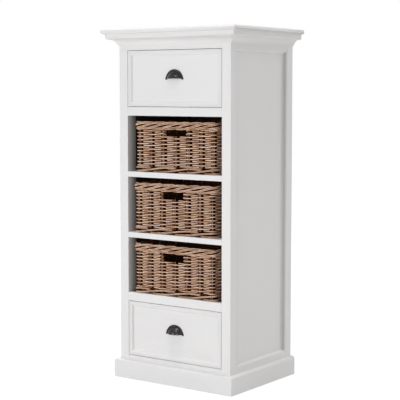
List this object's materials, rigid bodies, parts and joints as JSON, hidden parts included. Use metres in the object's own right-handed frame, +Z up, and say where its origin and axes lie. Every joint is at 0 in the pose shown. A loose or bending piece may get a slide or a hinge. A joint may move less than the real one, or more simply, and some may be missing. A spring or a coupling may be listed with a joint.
{
  "type": "bathroom storage tower",
  "caption": "Tall painted bathroom storage tower with a moulded crown and plinth, inset drawers with cup pulls, and open bays that hold woven pull-out baskets.",
  "frame": {"origin": "middle of the footprint at floor level, the crown's overhang included", "axes": "+Z up, -Y the front that the drawers and baskets open to, +X to the right seen from the front"},
  "size_m": [0.668, 0.512, 1.45],
  "materials": {
    "white_paint": "satin white paint on wood",
    "dark_board": "dark stained board, matt",
    "bare_wood": "clear-sealed pale softwood",
    "dark_iron": "blackened, lightly worn",
    "screw_steel": "zinc-plated",
    "rattan": "greyed natural cane, unvarnished"
  },
  "bodies": {
    "cabinet": {"top_board": "white_paint", "crown_front": "white_paint", "crown_left": "white_paint", "crown_right": "white_paint", "front_post_left": "white_paint", "front_post_right": "white_paint", "back_post_left": "white_paint", "back_post_right": "white_paint", "top_rail": "white_paint", "upper_rail": "white_paint", "lower_rail": "white_paint", "bottom_rail": "white_paint", "side_top_rail_left": "white_paint", "side_top_rail_right": "white_paint", "side_bottom_rail_left": "white_paint", "side_bottom_rail_right": "white_paint", "side_panel_left": "white_paint", "side_panel_right": "white_paint", "side_bead_left": "white_paint", "side_bead_right": "white_paint", "back_panel": "dark_board", "back_screws": "screw_steel", "shelf_upper": "white_paint", "shelf_lower": "white_paint", "deck_upper": "dark_board", "deck_lower": "dark_board", "bottom_board": "dark_board", "runners_upper": "bare_wood", "runners_lower": "bare_wood", "plinth_front": "white_paint", "plinth_left": "white_paint", "plinth_right": "white_paint"},
    "drawer_upper": {"drawer_upper_front": "white_paint", "drawer_upper_side_left": "bare_wood", "drawer_upper_side_right": "bare_wood", "drawer_upper_back": "bare_wood", "drawer_upper_bottom": "bare_wood", "cup_pull_upper": "dark_iron", "pull_screws_upper": "dark_iron"},
    "drawer_lower": {"drawer_lower_front": "white_paint", "drawer_lower_side_left": "bare_wood", "drawer_lower_side_right": "bare_wood", "drawer_lower_back": "bare_wood", "drawer_lower_bottom": "bare_wood", "cup_pull_lower": "dark_iron", "pull_screws_lower": "dark_iron"},
    "basket_upper": {"basket_upper_rim": "rattan", "basket_upper_wall": "rattan", "basket_upper_foot": "rattan", "basket_upper_base": "rattan"},
    "basket_middle": {"basket_middle_rim": "rattan", "basket_middle_wall": "rattan", "basket_middle_foot": "rattan", "basket_middle_base": "rattan"},
    "basket_lower": {"basket_lower_rim": "rattan", "basket_lower_wall": "rattan", "basket_lower_foot": "rattan", "basket_lower_base": "rattan"}
  },
  "joints": [
    {"name": "drawer_upper_slide", "type": "slide", "parent": "cabinet", "child": "drawer_upper", "axis": [0, -1, 0], "range_m": [0, 0.28]},
    {"name": "drawer_lower_slide", "type": "slide", "parent": "cabinet", "child": "drawer_lower", "axis": [0, -1, 0], "range_m": [0, 0.28]},
    {"name": "basket_upper_slide", "type": "slide", "parent": "cabinet", "child": "basket_upper", "axis": [0, -1, 0], "range_m": [0, 0.47]},
    {"name": "basket_middle_slide", "type": "slide", "parent": "cabinet", "child": "basket_middle", "axis": [0, -1, 0], "range_m": [0, 0.47]},
    {"name": "basket_lower_slide", "type": "slide", "parent": "cabinet", "child": "basket_lower", "axis": [0, -1, 0], "range_m": [0, 0.47]}
  ]
}
